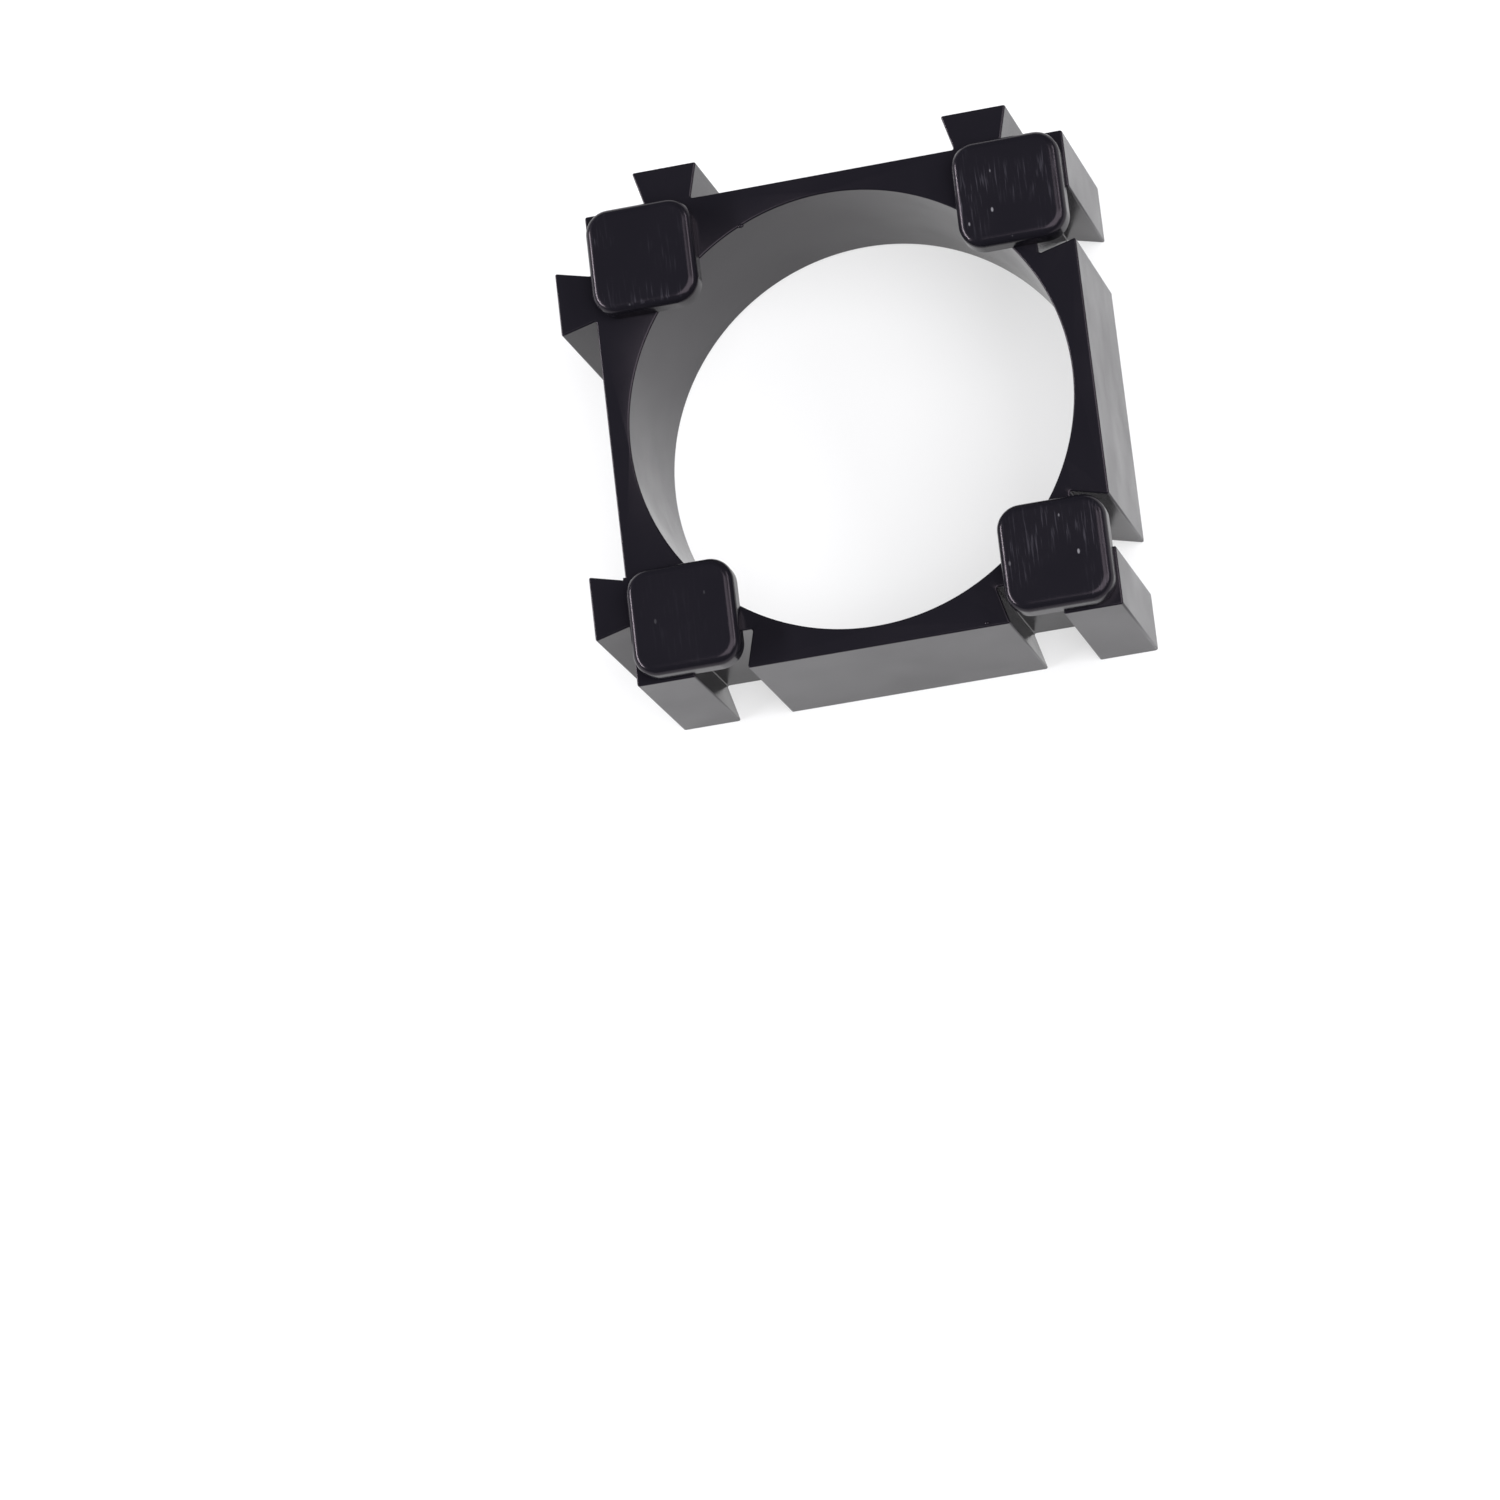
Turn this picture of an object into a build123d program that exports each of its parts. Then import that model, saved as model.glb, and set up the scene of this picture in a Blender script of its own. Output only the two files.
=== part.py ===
from build123d import *

import os

# Single-cell holder bracket for one 18650 cell, moulded in one piece.
#
# Frame: origin on the bore axis at the back face, which is the face the cell
# enters and the face the bracket stands on. +Z runs along the bore towards the
# four corner stops, +X towards one of the two sides with grooves and +Y towards
# one of the two sides with rails. Millimetres throughout.

# Cell and bore
CELL_DIAMETER = 18.3  # bare 18650 cell with its sleeve
CELL_CLEARANCE = 0.1  # radial gap between sleeve and bore
LEAD_IN = 0.2  # chamfer where the cell enters

# Square frame around the bore
THINNEST_WALL = 0.85  # at the middle of each side
FRAME_HEIGHT = 8.0  # back face to front face
OUTER_EDGE_RADIUS = 0.15  # the four upright corners
FRONT_BEVEL = 0.07  # round the outline of the front face
BORE_EDGE_RADIUS = 0.08  # where the bore meets the front face

# Corner stops, which stand on the front face and reach over the bore
STOP_SIZE = 4.5  # along each side of the square
STOP_THICKNESS = 1.0  # above the front face
STOP_INSET = 0.12  # from the frame's outer faces
STOP_CORNER_RADIUS = 1.0
STOP_EDGE_RADIUS = 0.4  # all round the top of a stop

# Dovetail rails on two sides, grooves on the other two
DOVETAIL_OFFSET = 6.55  # from the middle of a side to a rail's centre line
RAIL_ROOT_WIDTH = 1.96
RAIL_TIP_WIDTH = 2.74
RAIL_PROJECTION = 1.52
RAIL_EDGE_RADIUS = 0.1
RAIL_GAP = 0.1  # clearance at each flank of a rail in its groove
RAIL_END_GAP = 0.06  # clearance between a rail's tip and the groove's floor
GROOVE_EDGE_RADIUS = 0.08

# Sizes that follow from the ones above
BORE_RADIUS = CELL_DIAMETER / 2 + CELL_CLEARANCE
HALF_SIDE = BORE_RADIUS + THINNEST_WALL
STOP_CENTRE = HALF_SIDE - STOP_INSET - STOP_SIZE / 2
GROOVE_DEPTH = RAIL_PROJECTION + RAIL_END_GAP
FLANK_SLOPE = (RAIL_TIP_WIDTH - RAIL_ROOT_WIDTH) / 2 / RAIL_PROJECTION

RAIL_SIDES = (90, 180)  # turn from the +X side, in degrees: +Y and -X
GROOVE_SIDES = (0, 270)  # +X and -Y
SIDE_POSITIONS = (-DOVETAIL_OFFSET, DOVETAIL_OFFSET)
CUT_MARGIN = 1.0  # how far cutting tools run past the faces they cut


def on_side(shape, turn, position):
    """Place a shape drawn at the origin, pointing along +X, on one side."""
    return Rot(0, 0, turn) * Pos(HALF_SIDE, position, 0) * shape


def rail_profile():
    """Section of a rail: narrow at the wall, wide at the tip."""
    root = RAIL_ROOT_WIDTH / 2
    tip = RAIL_TIP_WIDTH / 2
    into_wall = THINNEST_WALL / 2
    outline = Polyline(
        (-into_wall, -root),
        (0, -root),
        (RAIL_PROJECTION, -tip),
        (RAIL_PROJECTION, tip),
        (0, root),
        (-into_wall, root),
        close=True,
    )
    section = make_face(outline)
    tips = section.vertices().group_by(Axis.X)[-1]
    return fillet(tips, RAIL_EDGE_RADIUS)


def groove_profile():
    """Section of a groove: the rail's section with its clearances."""
    mouth = RAIL_ROOT_WIDTH / 2 + RAIL_GAP
    floor = mouth + FLANK_SLOPE * GROOVE_DEPTH
    outline = Polyline(
        (CUT_MARGIN, -mouth),
        (0, -mouth),
        (-GROOVE_DEPTH, -floor),
        (-GROOVE_DEPTH, floor),
        (0, mouth),
        (CUT_MARGIN, mouth),
        close=True,
    )
    section = make_face(outline)
    floor_corners = section.vertices().group_by(Axis.X)[0]
    return fillet(floor_corners, GROOVE_EDGE_RADIUS)


def frame_profile():
    """Section of the frame across the bore axis, with rails and grooves."""
    square = RectangleRounded(2 * HALF_SIDE, 2 * HALF_SIDE, OUTER_EDGE_RADIUS)
    section = square - Circle(BORE_RADIUS)
    for turn in GROOVE_SIDES:
        for position in SIDE_POSITIONS:
            section -= on_side(groove_profile(), turn, position)
    for turn in RAIL_SIDES:
        for position in SIDE_POSITIONS:
            section += on_side(rail_profile(), turn, position)
    return section


def bore_rim(edges):
    """The bore's circle among the edges of the back or the front face."""
    return edges.filter_by(GeomType.CIRCLE).sort_by(SortBy.RADIUS)[-1]


def bored_frame():
    """The frame as a solid, with the bore's lead-in and its softened front edges."""
    frame = extrude(frame_profile(), FRAME_HEIGHT)
    frame = chamfer(bore_rim(frame.edges().group_by(Axis.Z)[0]), LEAD_IN)
    frame = fillet(bore_rim(frame.edges().group_by(Axis.Z)[-1]), BORE_EDGE_RADIUS)
    outline = frame.faces().sort_by(Axis.Z)[-1].outer_wire()
    return chamfer(outline.edges(), FRONT_BEVEL)


def corner_stop():
    """One stop: a rounded square plate with a soft front edge."""
    outline = RectangleRounded(STOP_SIZE, STOP_SIZE, STOP_CORNER_RADIUS)
    plate = extrude(outline, STOP_THICKNESS)
    return fillet(plate.edges().group_by(Axis.Z)[-1], STOP_EDGE_RADIUS)


def cell_bracket():
    """The whole moulding as one solid."""
    bracket = bored_frame()
    stop = corner_stop()
    for x in (-STOP_CENTRE, STOP_CENTRE):
        for y in (-STOP_CENTRE, STOP_CENTRE):
            bracket += Pos(x, y, FRAME_HEIGHT) * stop
    return bracket


def main():
    """Build the bracket and write its STEP file."""
    os.makedirs("parts", exist_ok=True)
    export_step(cell_bracket(), "parts/cell_bracket.step")


if __name__ == "__main__":
    main()
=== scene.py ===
"""Looks of a single-cell battery bracket, injection moulded in black plastic.

The moulding is built finely enough for clean edges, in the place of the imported
solid. It stands on a backlit white card under three soft boxes, seen through a
long lens.
"""

import logging
import math
from dataclasses import dataclass
from enum import Enum
from typing import Any

import bmesh
import bpy
from mathutils import Euler, Matrix, Vector


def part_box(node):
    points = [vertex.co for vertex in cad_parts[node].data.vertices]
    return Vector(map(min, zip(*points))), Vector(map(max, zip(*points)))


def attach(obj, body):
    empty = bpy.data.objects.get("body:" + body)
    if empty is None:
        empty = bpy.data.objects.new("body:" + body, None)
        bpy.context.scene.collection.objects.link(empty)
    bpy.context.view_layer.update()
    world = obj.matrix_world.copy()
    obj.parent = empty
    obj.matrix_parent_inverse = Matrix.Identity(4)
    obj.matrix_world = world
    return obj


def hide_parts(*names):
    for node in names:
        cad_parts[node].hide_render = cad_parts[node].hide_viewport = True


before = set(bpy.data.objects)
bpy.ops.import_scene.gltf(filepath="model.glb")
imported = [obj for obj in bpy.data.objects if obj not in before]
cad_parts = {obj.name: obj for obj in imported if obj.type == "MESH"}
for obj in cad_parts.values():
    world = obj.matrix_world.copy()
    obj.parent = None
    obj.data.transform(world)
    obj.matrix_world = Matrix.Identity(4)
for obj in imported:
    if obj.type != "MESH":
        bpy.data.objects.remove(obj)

LOG = logging.getLogger("bracket")
MM = 0.001
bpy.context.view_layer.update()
BODY = "root"
WHITE = (1, 1, 1, 1)

Colour = tuple[float, float, float, float]
Socket = bpy.types.NodeSocket
Span = tuple[float, float]


def srgb(code: str) -> Colour:
    """Turn an sRGB hex colour into the linear colour that Blender works in.

    Args:
        code: Six hex digits, with or without a leading hash.

    Returns:
        Linear red, green, blue and a full alpha.
    """
    digits = code.lstrip("#")
    parts = [int(digits[i:i + 2], 16) / 255 for i in (0, 2, 4)]
    linear = [p / 12.92 if p <= 0.04045 else ((p + 0.055) / 1.055) ** 2.4 for p in parts]
    return (linear[0], linear[1], linear[2], 1.0)


def add_node(tree: bpy.types.NodeTree, kind: str, links: dict[str | int, Socket] | None = None,
             inputs: dict[str | int, Any] | None = None, **settings: Any) -> bpy.types.Node:
    """Add one shader node with its settings, socket values and incoming links.

    Args:
        tree: The material's or world's node tree.
        kind: Blender's name for the node's type.
        links: Input sockets by name or place, each with the output that feeds it.
        inputs: Input sockets by name or place, each with its value.
        **settings: Properties set on the node itself.

    Returns:
        The new node.
    """
    node = tree.nodes.new(kind)
    for name, value in settings.items():
        setattr(node, name, value)
    for name, value in (inputs or {}).items():
        node.inputs[name].default_value = value
    for name, source in (links or {}).items():
        tree.links.new(source, node.inputs[name])
    return node


@dataclass(frozen=True)
class MouldedPlastic:
    """Black thermoplastic straight from a polished mould.

    It gives the eye a near-black body whose flat faces stay dark while every
    face seen at a slant mirrors the white around it as an even grey. The tops
    of the stops are rubbed: thin streaks along Y, and a few pale specks, which
    are scratches and burrs with a painted glint in their colour.
    """

    name: str = "black_moulded_plastic"
    body: str = "#141318"
    worn: str = "#2b2a30"
    # Pale grey of the specks: scratches and burrs, with their glint painted in as colour.
    speck_with_painted_glint: str = "#6a696e"
    tint: str = "#f6e4f4"
    # With the 1.46 of solid plastic the slanted walls come out too light.
    ior: float = 1.28
    roughness: float = 0.22
    spread: float = 0.04
    rubbed_roughness: float = 0.34
    # Skin left by the mould, and the slow drift of its sheen.
    grain: float = 0.12 * MM
    grain_height: float = 0.0012 * MM
    flow: float = 3.0 * MM
    sheen_span: Span = (0.3, 0.7)
    # Rubbing, only above this level, least at the corner between -X and -Y.
    rubbed_level: float = 8.9 * MM
    rubbed_fade: float = 0.08 * MM
    wear_span: Span = (-10.0 * MM, -2.0 * MM)
    least_wear: float = 0.15
    streak_width: float = 0.09 * MM
    streak_length: float = 1.3 * MM
    streak_span: Span = (0.54, 0.7)
    patch_span: Span = (0.46, 0.62)
    speck_pitch: float = 0.55 * MM
    speck_stretch: float = 2.0
    speck_radius: float = 0.07
    speck_blur: float = 1.6
    speck_choice: Span = (0.7, 0.72)

    def build(self) -> bpy.types.Material:
        """Make the material.

        Returns:
            The finished material.
        """
        material = bpy.data.materials.new(self.name)
        material.use_nodes = True
        tree = material.node_tree
        shader = tree.nodes["Principled BSDF"]
        shader.inputs["IOR"].default_value = self.ior
        shader.inputs["Specular Tint"].default_value = srgb(self.tint)
        place = add_node(tree, "ShaderNodeTexCoord").outputs["Object"]
        rubbed = self.rubbed(tree, place)
        streaks = self.times(tree, self.streaks(tree, place), rubbed)
        specks_with_painted_glint = self.times(tree, self.specks_with_painted_glint(tree, place), rubbed)
        rubbed_body = self.mixed(tree, streaks, srgb(self.body), srgb(self.worn))
        # The specks take a pale grey: scratches and burrs, with their glint painted into the colour.
        colour = self.mixed(tree, specks_with_painted_glint, rubbed_body, srgb(self.speck_with_painted_glint))
        tree.links.new(colour, shader.inputs["Base Color"])
        tree.links.new(self.sheen(tree, place, streaks), shader.inputs["Roughness"])
        skin = self.noise(tree, place, 1 / self.grain, 2.0)
        bump = add_node(tree, "ShaderNodeBump", {"Height": skin}, {"Distance": self.grain_height})
        tree.links.new(bump.outputs["Normal"], shader.inputs["Normal"])
        return material

    def noise(self, tree: bpy.types.NodeTree, place: Socket, scale: float, detail: float) -> Socket:
        """Draw a cloudy pattern."""
        inputs = {"Scale": scale, "Detail": detail}
        return add_node(tree, "ShaderNodeTexNoise", {"Vector": place}, inputs).outputs["Fac"]

    def ramp(self, tree: bpy.types.NodeTree, value: Socket, span: Span, result: Span = (0.0, 1.0)) -> Socket:
        """Stretch a value from one span to another, held at both ends."""
        inputs = {"From Min": span[0], "From Max": span[1], "To Min": result[0], "To Max": result[1]}
        return add_node(tree, "ShaderNodeMapRange", {"Value": value}, inputs, clamp=True).outputs["Result"]

    def times(self, tree: bpy.types.NodeTree, one: Socket, two: Socket) -> Socket:
        """Multiply two values."""
        return add_node(tree, "ShaderNodeMath", {0: one, 1: two}, operation="MULTIPLY").outputs["Value"]

    def stretched(self, tree: bpy.types.NodeTree, place: Socket,
                  scale: tuple[float, float, float]) -> Socket:
        """Scale the coordinates on each axis."""
        return add_node(tree, "ShaderNodeMapping", {"Vector": place}, {"Scale": scale}).outputs["Vector"]

    def mixed(self, tree: bpy.types.NodeTree, share: Socket,
              one: Colour | Socket, two: Colour | Socket) -> Socket:
        """Mix two colours, each plain or drawn by a node.

        Args:
            tree: The material's node tree.
            share: How much of the second colour shows.
            one: The first colour.
            two: The second colour.

        Returns:
            The mixed colour.
        """
        first, second, result = 6, 7, 2
        mix = add_node(tree, "ShaderNodeMix", {0: share}, data_type="RGBA")
        for slot, colour in ((first, one), (second, two)):
            if isinstance(colour, tuple):
                mix.inputs[slot].default_value = colour
            else:
                tree.links.new(colour, mix.inputs[slot])
        return mix.outputs[result]

    def sheen(self, tree: bpy.types.NodeTree, place: Socket, streaks: Socket) -> Socket:
        """Let the roughness drift slowly and rise in the streaks.

        Args:
            tree: The material's node tree.
            place: The object's coordinates.
            streaks: Where the face is rubbed.

        Returns:
            The roughness.
        """
        cloud = self.noise(tree, place, 1 / self.flow, 3.0)
        sheens = (self.roughness - self.spread, self.roughness + self.spread)
        drift = self.ramp(tree, cloud, self.sheen_span, sheens)
        mix = add_node(tree, "ShaderNodeMix", {"Factor": streaks, "A": drift}, {"B": self.rubbed_roughness})
        return mix.outputs[0]

    def rubbed(self, tree: bpy.types.NodeTree, place: Socket) -> Socket:
        """Find the tops of the stops, which are rubbed less towards -X and -Y.

        Args:
            tree: The material's node tree.
            place: The object's coordinates.

        Returns:
            How much a place is rubbed, with nothing below the tops.
        """
        axes = add_node(tree, "ShaderNodeSeparateXYZ", {"Vector": place}).outputs
        top = self.ramp(tree, axes["Z"], (self.rubbed_level, self.rubbed_level + self.rubbed_fade))
        both = {0: axes["X"], 1: axes["Y"]}
        across = add_node(tree, "ShaderNodeMath", both, operation="ADD").outputs["Value"]
        return self.times(tree, top, self.ramp(tree, across, self.wear_span, (self.least_wear, 1.0)))

    def streaks(self, tree: bpy.types.NodeTree, place: Socket) -> Socket:
        """Draw thin rubbed streaks along Y, in patches.

        Args:
            tree: The material's node tree.
            place: The object's coordinates.

        Returns:
            One in a streak and nothing beside it.
        """
        scale = (1 / self.streak_width, 1 / self.streak_length, 1 / self.streak_width)
        lines = self.noise(tree, self.stretched(tree, place, scale), 1.0, 2.0)
        patch = self.noise(tree, place, 1 / self.flow, 1.0)
        thin = self.ramp(tree, lines, self.streak_span)
        return self.times(tree, thin, self.ramp(tree, patch, self.patch_span))

    def specks_with_painted_glint(self, tree: bpy.types.NodeTree, place: Socket) -> Socket:
        """Scatter a few pale specks, longer along Y: scratches and burrs with a painted glint.

        Args:
            tree: The material's node tree.
            place: The object's coordinates.

        Returns:
            One in a speck and nothing beside it.
        """
        across, along = 1 / self.speck_pitch, 1 / (self.speck_stretch * self.speck_pitch)
        drawn = self.stretched(tree, place, (across, along, across))
        cells = add_node(tree, "ShaderNodeTexVoronoi", {"Vector": drawn}, {"Scale": 1.0}).outputs
        edge = (self.speck_radius, self.speck_radius * self.speck_blur)
        dot = self.ramp(tree, cells["Distance"], edge, (1.0, 0.0))
        chosen = add_node(tree, "ShaderNodeSeparateColor", {"Color": cells["Color"]}).outputs["Red"]
        return self.times(tree, dot, self.ramp(tree, chosen, self.speck_choice))


@dataclass(frozen=True)
class WhiteSweep:
    """Backlit white card under the bracket, which keeps its soft shadow and shows no edge."""

    name: str = "white_card"
    colour: str = "#f4f4f6"
    half_size: float = 400 * MM
    glow: float = 0.6

    def build(self) -> bpy.types.Object:
        """Make the card as one large square at the bracket's back face.

        Returns:
            The card.
        """
        mesh = bpy.data.meshes.new(self.name)
        card = bmesh.new()
        bmesh.ops.create_grid(card, x_segments=1, y_segments=1, size=self.half_size)
        card.to_mesh(mesh)
        card.free()
        mesh.materials.append(self.finish())
        piece = bpy.data.objects.new(self.name, mesh)
        bpy.context.scene.collection.objects.link(piece)
        return piece

    def finish(self) -> bpy.types.Material:
        """Make matt card that glows white where the camera or a mirror sees it.

        Returns:
            The finished material.
        """
        material = bpy.data.materials.new(self.name)
        material.use_nodes = True
        tree = material.node_tree
        tree.nodes.clear()
        ray = add_node(tree, "ShaderNodeLightPath").outputs
        direct = {0: ray["Is Camera Ray"], 1: ray["Is Glossy Ray"]}
        seen = add_node(tree, "ShaderNodeMath", direct, operation="MAXIMUM").outputs[0]
        through = {0: seen, 1: ray["Is Transmission Ray"]}
        seen = add_node(tree, "ShaderNodeMath", through, operation="MAXIMUM").outputs[0]
        share = add_node(tree, "ShaderNodeMath", {0: seen}, {1: self.glow}, operation="MULTIPLY").outputs[0]
        matte = add_node(tree, "ShaderNodeBsdfDiffuse", inputs={"Color": srgb(self.colour)}).outputs[0]
        white = add_node(tree, "ShaderNodeEmission", inputs={"Color": WHITE, "Strength": 1.0}).outputs[0]
        mix = add_node(tree, "ShaderNodeMixShader", {0: share, 1: matte, 2: white}).outputs[0]
        add_node(tree, "ShaderNodeOutputMaterial", {"Surface": mix})
        return material


@dataclass(frozen=True)
class SoftBox:
    """One soft box, aimed at the bracket."""

    name: str
    place: tuple[float, float, float]
    wide: float
    high: float
    watts: float

    def build(self) -> bpy.types.Object:
        """Hang the lamp at its place and turn it to the bracket.

        Returns:
            The lamp.
        """
        lamp = bpy.data.lights.new(self.name, "AREA")
        lamp.shape = "RECTANGLE"
        lamp.size = self.wide
        lamp.size_y = self.high
        lamp.energy = self.watts
        box = bpy.data.objects.new(self.name, lamp)
        box.location = self.place
        box.rotation_euler = (-Vector(self.place)).to_track_quat("-Z", "Y").to_euler()
        bpy.context.scene.collection.objects.link(box)
        return box


@dataclass(frozen=True)
class Viewpoint:
    """A long lens high over the bracket's corner between its two grooved sides."""

    name: str = "viewpoint"
    place: tuple[float, float, float] = (51.851 * MM, -87.516 * MM, 288.745 * MM)
    tilt: tuple[float, float, float] = (13.0626, 13.1776, -6.5975)
    lens: float = 175.99
    film: float = 36
    nearest: float = 10 * MM
    farthest: float = 10

    def build(self) -> bpy.types.Object:
        """Make the camera and make it the scene's own.

        Returns:
            The camera.
        """
        camera = bpy.data.cameras.new(self.name)
        camera.lens = self.lens
        camera.sensor_width = self.film
        camera.clip_start = self.nearest
        camera.clip_end = self.farthest
        holder = bpy.data.objects.new(self.name, camera)
        holder.location = self.place
        holder.rotation_euler = Euler([math.radians(a) for a in self.tilt], "XYZ")
        bpy.context.scene.collection.objects.link(holder)
        bpy.context.scene.camera = holder
        return holder


class Side(Enum):
    """What a side of the frame carries."""

    GROOVES = "grooves"
    RAILS = "rails"


def mesh_from(shape: bmesh.types.BMesh, name: str) -> bpy.types.Mesh:
    """Turn a finished bmesh into a mesh and free it.

    Args:
        shape: The bmesh, with its faces pointing outwards.
        name: The new mesh's name.

    Returns:
        The new mesh.
    """
    mesh = bpy.data.meshes.new(name)
    shape.to_mesh(mesh)
    shape.free()
    return mesh


def soften(shape: bmesh.types.BMesh, edges: list[bmesh.types.BMEdge], width: float, segments: int) -> None:
    """Round a set of edges, or bevel them flat with a single segment."""
    bmesh.ops.bevel(shape, geom=edges, offset=width, segments=segments,
                    profile=0.5, affect="EDGES", material=-1, clamp_overlap=False)


@dataclass(frozen=True)
class Dovetail:
    """The section of a rail, or of the groove that takes one."""

    root: float
    tip: float
    reach: float

    def points(self, middle: float) -> list[tuple[float, float]]:
        """Give the section's corners along a side, and how far each stands out of it.

        Args:
            middle: Where the dovetail's centre line lies along the side.

        Returns:
            Pairs of the distance along the side and out of it.
        """
        root, tip = self.root / 2, self.tip / 2
        return [(middle - root, 0), (middle - tip, self.reach),
                (middle + tip, self.reach), (middle + root, 0)]


@dataclass(frozen=True)
class Frame:
    """The square frame round the bore, with its rails and grooves."""

    half_side: float
    height: float
    bore_radius: float = 9.25 * MM
    bore_segments: int = 288
    lead_in: float = 0.2 * MM
    dovetail_offset: float = 6.55 * MM
    rail: Dovetail = Dovetail(1.96 * MM, 2.74 * MM, 1.52 * MM)
    groove: Dovetail = Dovetail(2.16 * MM, 2.97 * MM, -1.58 * MM)
    corner_round: float = 0.1 * MM
    front_round: float = 0.08 * MM
    back_break: float = 0.03 * MM
    round_segments: int = 3
    sides: tuple[Side, ...] = (Side.GROOVES, Side.RAILS, Side.RAILS, Side.GROOVES)
    # How near a point has to lie to a level or to the bore to count as on it.
    nearness: float = 0.015 * MM
    level_slant: float = 0.999
    wall_slant: float = 0.5
    same_plane: float = 0.001

    def outline(self) -> list[Vector]:
        """Walk once round the frame, from the corner between the grooved sides.

        Returns:
            The outline's corners in the plane of the back face.
        """
        walk: list[Vector] = []
        for turn, side in enumerate(self.sides):
            section = self.rail if side is Side.RAILS else self.groove
            pairs = [(-self.half_side, 0.0)]
            for middle in (-self.dovetail_offset, self.dovetail_offset):
                pairs += section.points(middle)
            spin = Matrix.Rotation(turn * math.pi / 2, 3, "Z")
            walk += [spin @ Vector((self.half_side + out, along, 0)) for along, out in pairs]
        return walk

    def build(self) -> bmesh.types.BMesh:
        """Make the frame: fill its section, raise it and round its edges.

        Returns:
            The open bmesh, to which the stops are added.
        """
        shape = self.raised_section()
        soften(shape, self.uprights(shape), self.corner_round, self.round_segments)
        soften(shape, self.rim(shape, self.height), self.front_round, self.round_segments)
        back = [edge for edge in self.rim(shape, 0.0) if not self.on_bore(edge)]
        soften(shape, back, self.back_break, self.round_segments)
        mouth = [edge for edge in self.rim(shape, 0.0) if self.on_bore(edge)]
        soften(shape, mouth, self.lead_in, 1)
        self.refill(shape)
        return shape

    def raised_section(self) -> bmesh.types.BMesh:
        """Fill the section between the outline and the bore, and raise it.

        Returns:
            The frame with sharp edges.
        """
        shape = bmesh.new()
        corners = [shape.verts.new(point) for point in self.outline()]
        for start, end in zip(corners, corners[1:] + corners[:1]):
            shape.edges.new((start, end))
        bmesh.ops.create_circle(shape, cap_ends=False, segments=self.bore_segments, radius=self.bore_radius)
        bmesh.ops.triangle_fill(shape, use_beauty=True, edges=shape.edges[:])
        bmesh.ops.dissolve_limit(shape, angle_limit=self.same_plane,
                                 verts=shape.verts[:], edges=shape.edges[:])
        raised = bmesh.ops.extrude_face_region(shape, geom=shape.faces[:])["geom"]
        top = [item for item in raised if isinstance(item, bmesh.types.BMVert)]
        bmesh.ops.translate(shape, verts=top, vec=(0, 0, self.height))
        bmesh.ops.recalc_face_normals(shape, faces=shape.faces[:])
        return shape

    def refill(self, shape: bmesh.types.BMesh) -> None:
        """Fill the flat front and back again, in triangles that stay inside them.

        Args:
            shape: The frame, whose front and back are each split into two large faces.
        """
        flat = [face for face in shape.faces
                if abs(face.normal.z) > self.level_slant and len(face.verts) > self.bore_segments / 4]
        bmesh.ops.delete(shape, geom=flat, context="FACES")
        for level in (0.0, self.height):
            bounds = [edge for edge in shape.edges
                      if edge.is_boundary and abs(edge.verts[0].co.z - level) < self.back_break]
            bmesh.ops.triangle_fill(shape, use_beauty=True, edges=bounds, normal=(0, 0, 1))

    def on_bore(self, edge: bmesh.types.BMEdge) -> bool:
        """Tell whether an edge lies on the bore's circle."""
        return all(abs(vert.co.xy.length - self.bore_radius) < self.nearness for vert in edge.verts)

    def uprights(self, shape: bmesh.types.BMesh) -> list[bmesh.types.BMEdge]:
        """Find the upright edges of the outline."""
        return [edge for edge in shape.edges
                if abs(edge.verts[0].co.z - edge.verts[1].co.z) > self.height / 2 and not self.on_bore(edge)]

    def rim(self, shape: bmesh.types.BMesh, level: float) -> list[bmesh.types.BMEdge]:
        """Find the edges at one level where a flat face meets the walls.

        Args:
            shape: The frame.
            level: The height of the back or the front face.

        Returns:
            The edges of the outline and of the bore at that level.
        """
        found = []
        for edge in shape.edges:
            level_here = all(abs(vert.co.z - level) < self.nearness for vert in edge.verts)
            slants = sorted(abs(face.normal.z) for face in edge.link_faces)
            if level_here and slants[0] < self.wall_slant < slants[-1]:
                found.append(edge)
        return found


@dataclass(frozen=True)
class CornerStop:
    """One stop: a rounded square plate that reaches over the bore."""

    size: float = 4.5 * MM
    thickness: float = 1.0 * MM
    inset: float = 0.12 * MM
    corner_round: float = 1.0 * MM
    edge_round: float = 0.4 * MM
    corner_segments: int = 16
    edge_segments: int = 8
    nearness: float = 0.01 * MM

    def add_to(self, shape: bmesh.types.BMesh, x: float, y: float, level: float) -> None:
        """Add the stop to a bmesh.

        Args:
            shape: The bmesh that collects the stops.
            x: The stop's centre.
            y: The stop's centre.
            level: The front face that it stands on.
        """
        place = Matrix.Translation((x, y, level + self.thickness / 2))
        plate = Matrix.Diagonal((self.size, self.size, self.thickness, 1))
        made = bmesh.ops.create_cube(shape, size=1, matrix=place @ plate)
        corners = set(made["verts"])
        upright = [edge for edge in shape.edges if edge.verts[0] in corners
                   and abs(edge.verts[0].co.z - edge.verts[1].co.z) > self.thickness / 2]
        soften(shape, upright, self.corner_round, self.corner_segments)
        soften(shape, self.crown(shape, x, y, level + self.thickness), self.edge_round, self.edge_segments)

    def crown(self, shape: bmesh.types.BMesh, x: float, y: float, top: float) -> list[bmesh.types.BMEdge]:
        """Find the edges round the top of the stop.

        Args:
            shape: The bmesh that collects the stops.
            x: The stop's centre.
            y: The stop's centre.
            top: The height of the stop's top.

        Returns:
            The edges of this stop alone.
        """
        return [edge for edge in shape.edges
                if all(abs(vert.co.z - top) < self.nearness for vert in edge.verts)
                and abs(edge.verts[0].co.x - x) < self.size and abs(edge.verts[0].co.y - y) < self.size]


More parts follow.
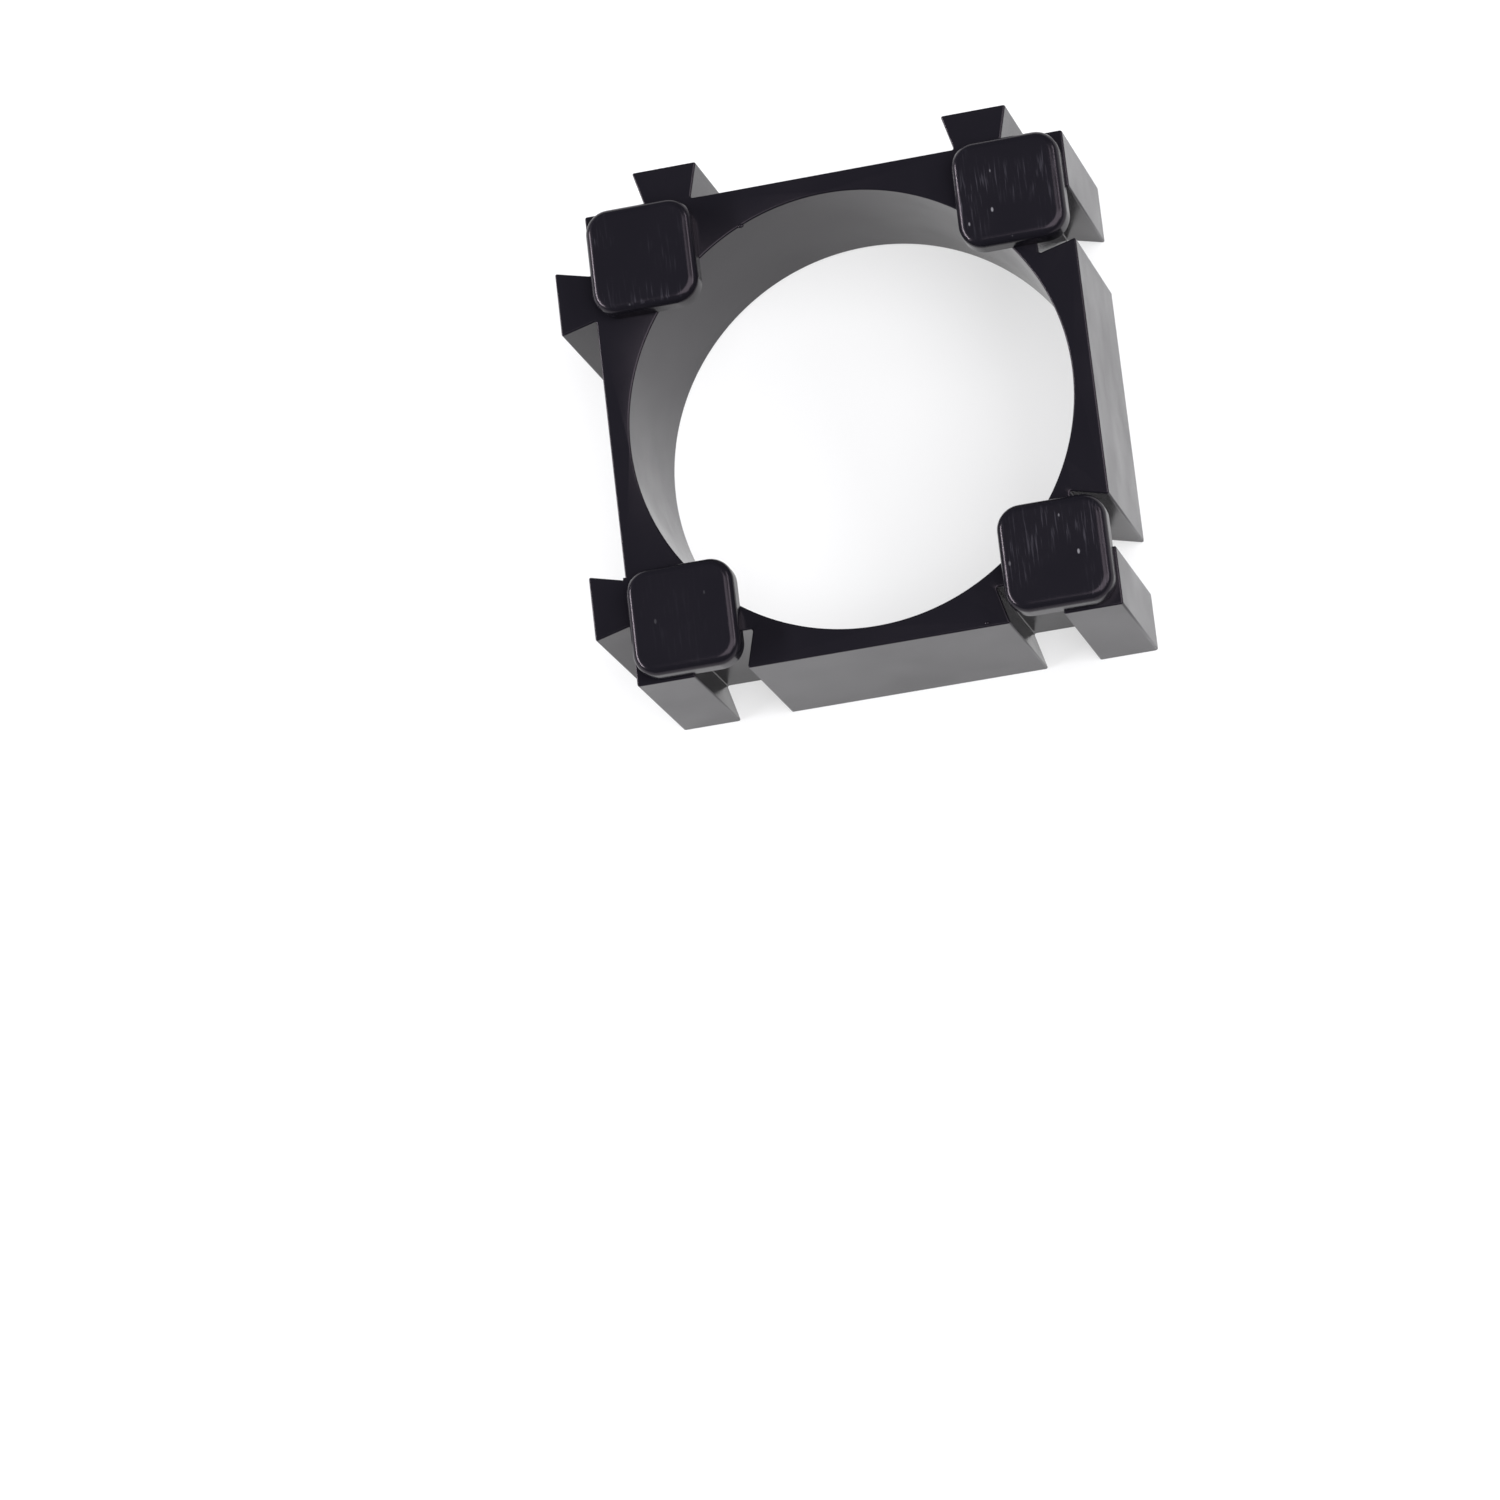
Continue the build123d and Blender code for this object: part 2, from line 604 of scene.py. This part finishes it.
@dataclass(frozen=True)
class Nib:
    """A small lump of flash on an edge of the front face."""

    x: float
    y: float
    size: float
    squash: tuple[float, float, float, float] = (1.0, 0.7, 0.6, 1.0)

    def add_to(self, shape: bmesh.types.BMesh, level: float) -> None:
        """Add the nib, half sunk in the front face, to a bmesh."""
        place = Matrix.Translation((self.x, self.y, level)) @ Matrix.Diagonal(self.squash)
        bmesh.ops.create_icosphere(shape, subdivisions=3, radius=self.size / 2, matrix=place)


@dataclass(frozen=True)
class Bracket:
    """The bracket itself: frame, rails and grooves, with the stops resting on the frame."""

    name: str = "bracket_moulding"
    node: str = "cell_bracket"
    stop: CornerStop = CornerStop()
    finish: MouldedPlastic = MouldedPlastic()
    smooth_angle: float = math.radians(35)
    merge_distance: float = 0.0001 * MM
    nibs: tuple[Nib, ...] = (Nib(-3.61 * MM, 8.5 * MM, 0.26 * MM), Nib(4.51 * MM, -9.94 * MM, 0.18 * MM))

    def build(self) -> bpy.types.Object:
        """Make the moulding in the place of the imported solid.

        The frame, the stops and the nibs are closed shells of one mesh. They
        touch or sink into each other and are not fused.

        Returns:
            The finished piece.
        """
        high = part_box(self.node)[1]
        half_side, front = high[0], high[2] - self.stop.thickness
        shape = Frame(half_side, front).build()
        centre = half_side - self.stop.inset - self.stop.size / 2
        for x in (-centre, centre):
            for y in (-centre, centre):
                self.stop.add_to(shape, x, y, front)
        for nib in self.nibs:
            nib.add_to(shape, front)
        bmesh.ops.remove_doubles(shape, verts=shape.verts[:], dist=self.merge_distance)
        bmesh.ops.recalc_face_normals(shape, faces=shape.faces[:])
        return self.dressed(mesh_from(shape, self.name))

    def dressed(self, mesh: bpy.types.Mesh) -> bpy.types.Object:
        """Shade the mesh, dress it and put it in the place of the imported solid.

        Args:
            mesh: The moulding's mesh.

        Returns:
            The finished piece.
        """
        mesh.materials.append(self.finish.build())
        mesh.shade_smooth()
        mesh.set_sharp_from_angle(angle=self.smooth_angle)
        piece = bpy.data.objects.new(self.name, mesh)
        bpy.context.scene.collection.objects.link(piece)
        level = piece.modifiers.new("level_faces", "WEIGHTED_NORMAL")
        level.keep_sharp = True
        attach(piece, BODY)
        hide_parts(self.node)
        return piece


@dataclass(frozen=True)
class Studio:
    """The surroundings: white card, camera, soft boxes and a dim room."""

    room: str = "#48484e"
    lamps: tuple[SoftBox, ...] = (
        SoftBox("left_box", (-0.5, 0.0, 0.24), 0.5, 0.06, 5.0),
        SoftBox("right_box", (0.5, 0.1, 0.34), 0.5, 0.08, 1.6),
        SoftBox("key_box", (0.3, -0.1, 0.7), 0.7, 0.7, 8.0),
    )

    def build(self) -> None:
        """Set up everything that isn't the bracket."""
        scene = bpy.context.scene
        scene.view_settings.view_transform = "Standard"
        WhiteSweep().build()
        Viewpoint().build()
        for lamp in self.lamps:
            lamp.build()
        scene.world = self.world()

    def world(self) -> bpy.types.World:
        """Make the room: dim to every ray but the camera's, which sees white.

        Returns:
            The finished world.
        """
        world = bpy.data.worlds.new("room")
        world.use_nodes = True
        tree = world.node_tree
        tree.nodes.clear()
        ray = add_node(tree, "ShaderNodeLightPath").outputs["Is Camera Ray"]
        dim = {"Color": srgb(self.room), "Strength": 1.0}
        room = add_node(tree, "ShaderNodeBackground", inputs=dim).outputs[0]
        seen = add_node(tree, "ShaderNodeBackground", inputs={"Color": WHITE, "Strength": 1.0}).outputs[0]
        mix = add_node(tree, "ShaderNodeMixShader", {0: ray, 1: room, 2: seen}).outputs[0]
        add_node(tree, "ShaderNodeOutputWorld", {"Surface": mix})
        return world


def main() -> None:
    """Build the bracket and the studio, and report each piece."""
    logging.basicConfig(level=logging.INFO, format="%(name)s: %(message)s")
    piece = Bracket().build()
    LOG.info("%s: %d faces", piece.name, len(piece.data.polygons))
    Studio().build()


if __name__ == "__main__":
    main()
